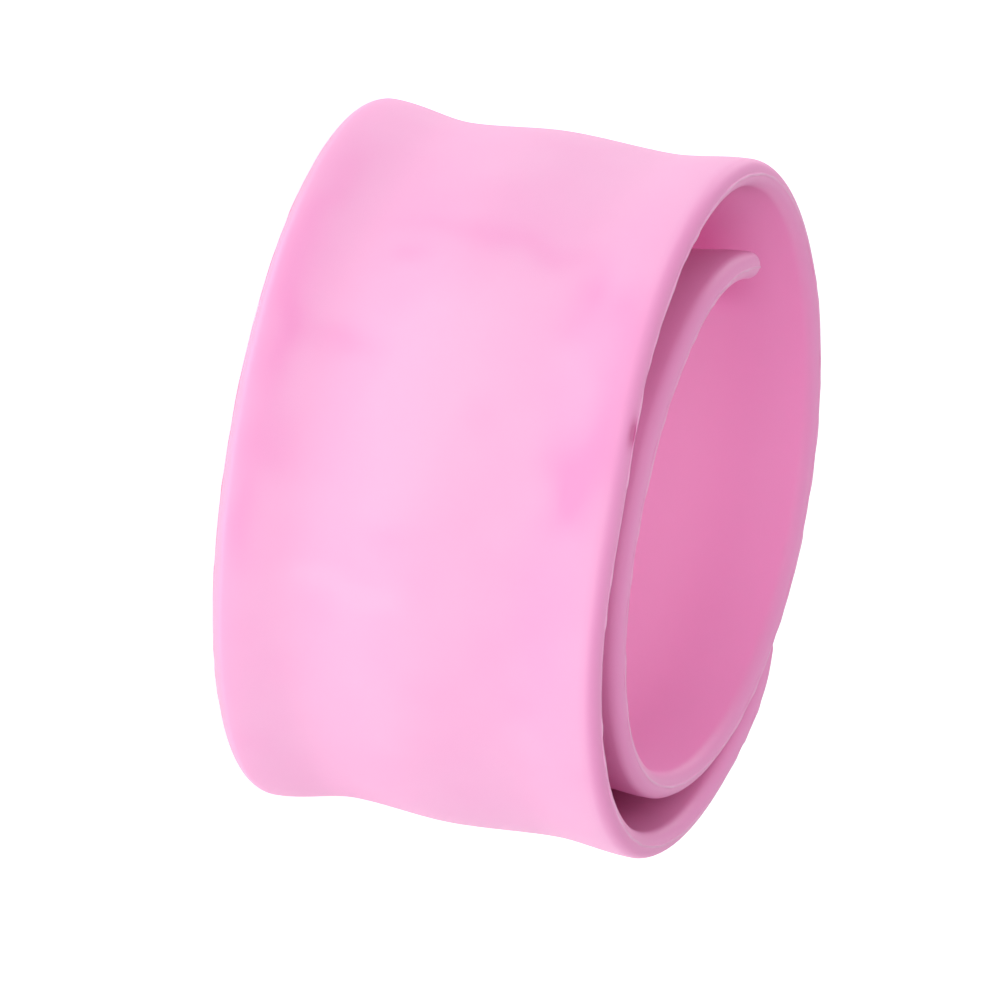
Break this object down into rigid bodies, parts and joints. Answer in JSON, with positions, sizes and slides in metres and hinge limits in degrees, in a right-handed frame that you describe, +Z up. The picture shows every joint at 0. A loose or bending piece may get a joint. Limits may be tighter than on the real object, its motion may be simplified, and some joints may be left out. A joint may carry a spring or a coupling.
{
  "type": "slap bracelet",
  "caption": "Plain flat silicone band curled closed on itself, with round rims, a shallow hollow beside each rim and softened ends, lying on its lower rim.",
  "frame": {"origin": "middle of the full outer turn, on the plane that the lower rim rests on", "axes": "+Z up along the axis of the coil, across the band's width; +X and +Y span the round of the coil, with the outer free end 70.5 degrees from +X towards +Y, and the band winding inwards clockwise seen from above"},
  "size_m": [0.0434, 0.0425, 0.025],
  "materials": {
    "silicone": "satin pink moulded silicone, soft-touch, with a fine mould line on each rim"
  },
  "bodies": {
    "root": {"silicone_band": "silicone"}
  },
  "joints": []
}
